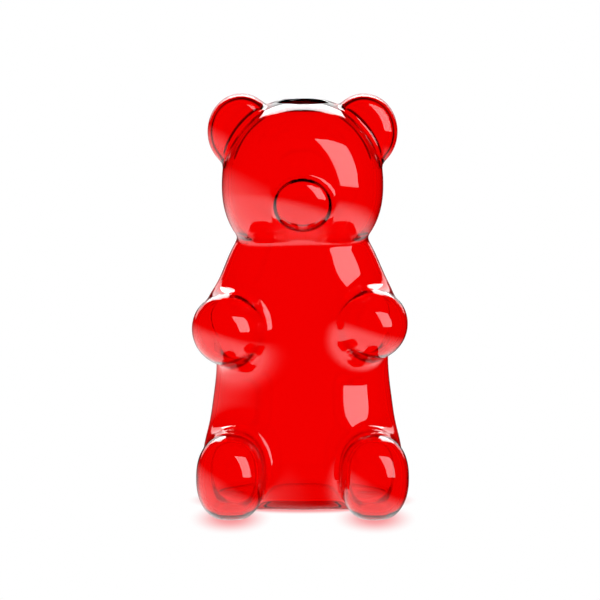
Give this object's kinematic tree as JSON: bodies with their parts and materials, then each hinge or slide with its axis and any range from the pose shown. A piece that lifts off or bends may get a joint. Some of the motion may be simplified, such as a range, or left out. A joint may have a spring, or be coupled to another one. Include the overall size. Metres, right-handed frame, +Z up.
{
  "type": "bear_shaped_glass_vase",
  "caption": "Hollow vase of red blown glass in the shape of a sitting jelly bear, with a round open mouth on the crown and a flat base",
  "frame": {"origin": "the middle of the flat underside, straight under the middle of the mouth", "axes": "+Z up out of the mouth, -Y the way the bear faces, +X the bear's own left"},
  "size_m": [0.1054, 0.0959, 0.2019],
  "materials": {
    "red_glass": "glossy transparent, blown",
    "lip_glass": "glossy, fire-polished, nearly black edge-on"
  },
  "bodies": {
    "root": {"torso": "red_glass", "base_disc": "red_glass", "head": "red_glass", "mouth_rim": "lip_glass", "muzzle": "red_glass", "left_ear": "red_glass", "right_ear": "red_glass", "left_arm": "red_glass", "right_arm": "red_glass", "left_leg": "red_glass", "right_leg": "red_glass"}
  },
  "joints": []
}
